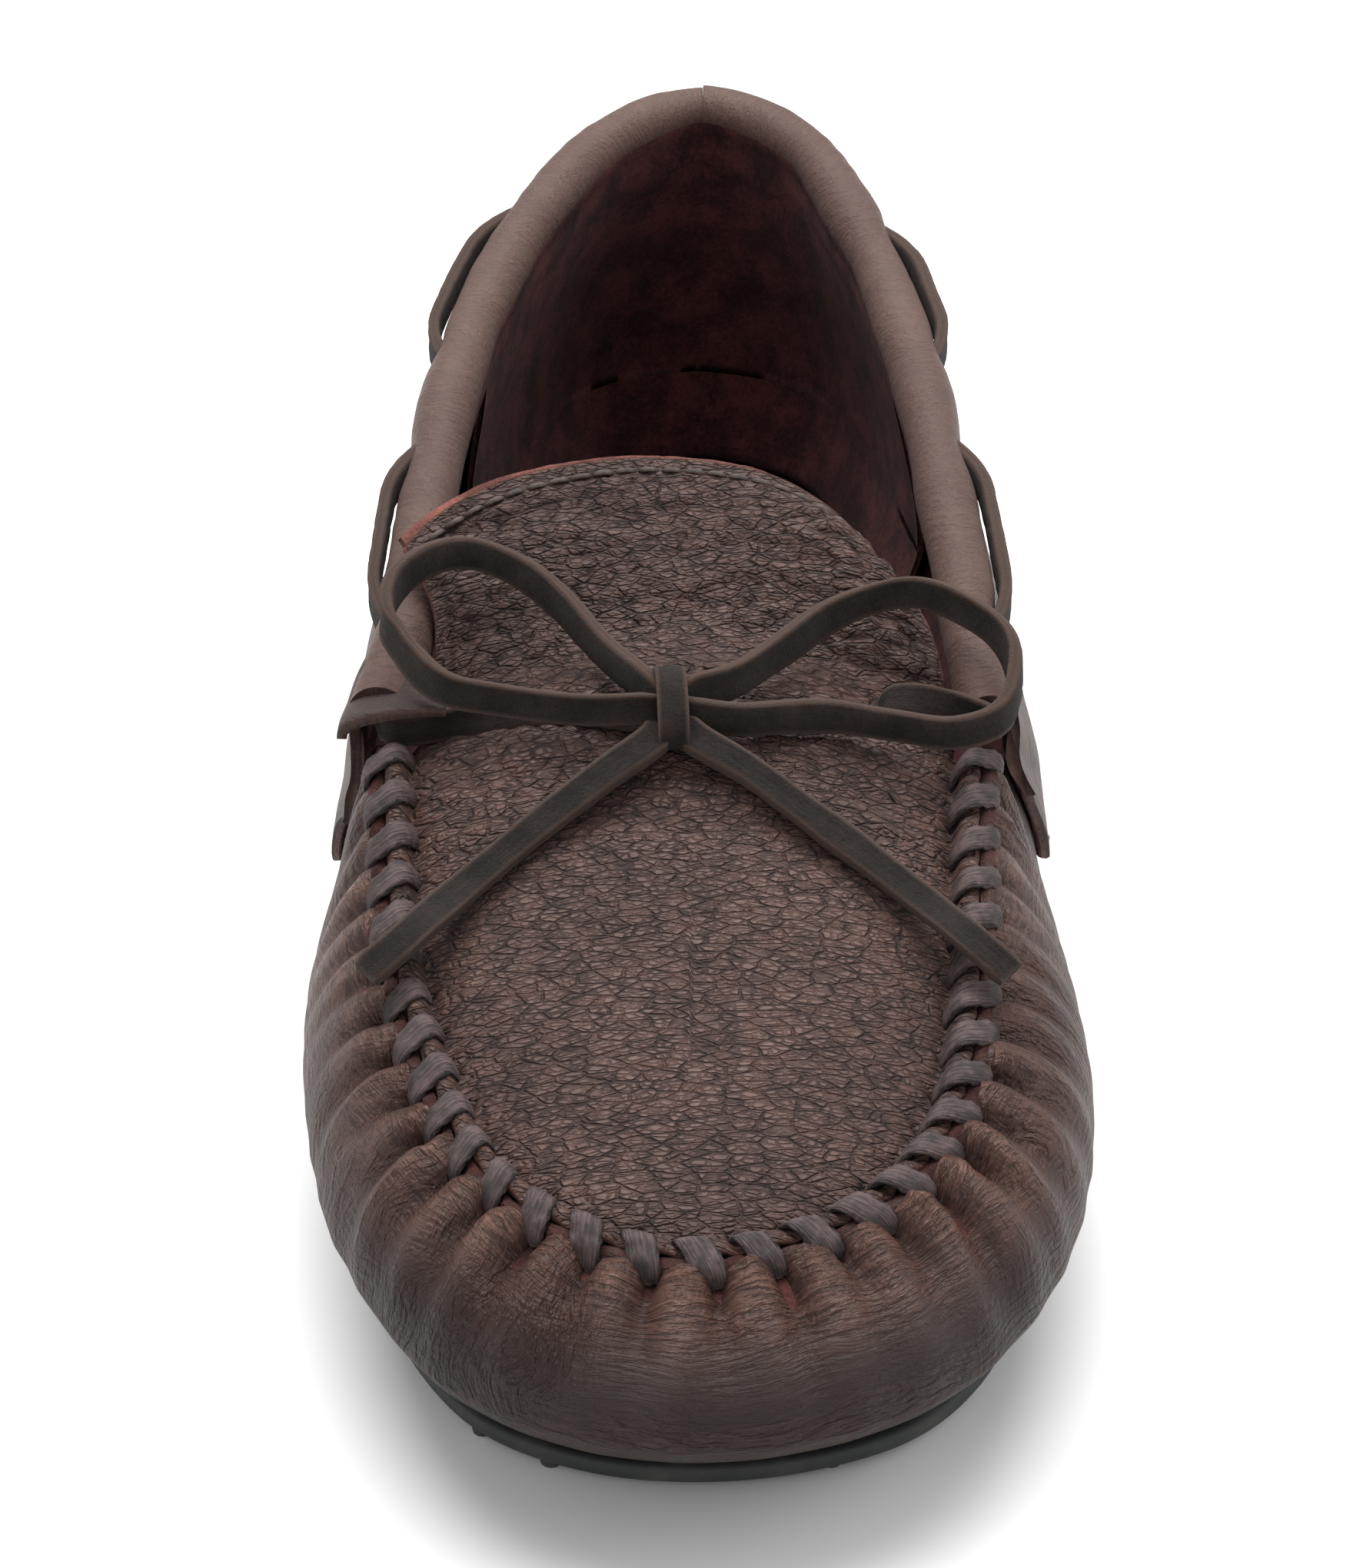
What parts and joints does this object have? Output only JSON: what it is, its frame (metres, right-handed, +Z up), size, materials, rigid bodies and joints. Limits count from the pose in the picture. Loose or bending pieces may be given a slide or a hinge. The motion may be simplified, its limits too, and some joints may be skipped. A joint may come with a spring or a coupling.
{
  "type": "moccasin",
  "caption": "Leather moccasin with a gathered hand-sewn toe, rolled collar, lifting tongue, flat lace tied in a bow and a studded rubber sole.",
  "frame": {"origin": "on the ground under the middle of the shoe's outline, the loose lace left out", "axes": "+Z up, the toe points along -Y and the heel along +Y, the wearer's right is +X"},
  "size_m": [0.1082, 0.2818, 0.0858],
  "materials": {
    "sole_rubber": "matt moulded rubber",
    "wrap_leather": "satin, fine drawn grain",
    "grain_leather": "satin pebbled grain",
    "collar_leather": "soft satin, slightly worn",
    "suede_side": "napped flesh side",
    "sock_leather": "satin",
    "lace_leather": "matt nubuck",
    "waxed_thread": "waxed, multi-ply",
    "fine_thread": "fine sewing thread",
    "fibreboard": "pressed fibre",
    "footbed_foam": "open-cell foam"
  },
  "bodies": {
    "root": {"outsole": "sole_rubber", "bottom_wrap": "wrap_leather", "plug": "grain_leather", "quarter_left": "collar_leather", "quarter_right": "collar_leather", "heel_tab": "collar_leather", "heel_counter": "fibreboard", "heel_lining": "suede_side", "insole_board": "fibreboard", "insole_foam": "footbed_foam", "sock_lining": "sock_leather", "plug_seam_thread": "waxed_thread", "quarter_thread_right": "fine_thread", "quarter_thread_left": "fine_thread", "lace_collar": "lace_leather", "lace_knot": "lace_leather", "lace_loop_left": "lace_leather", "lace_loop_right": "lace_leather", "lace_tail_left": "lace_leather", "lace_tail_right": "lace_leather"},
    "tongue": {"tongue": "grain_leather", "tongue_lining": "suede_side", "tongue_edge_thread": "fine_thread"}
  },
  "joints": [
    {"name": "tongue_lift", "type": "hinge", "parent": "root", "child": "tongue", "pos_m": [0, -0.0224, 0.0612], "axis": [1, 0, 0], "range_deg": [0, 7], "stiffness_Nm_per_rad": 0.02}
  ]
}
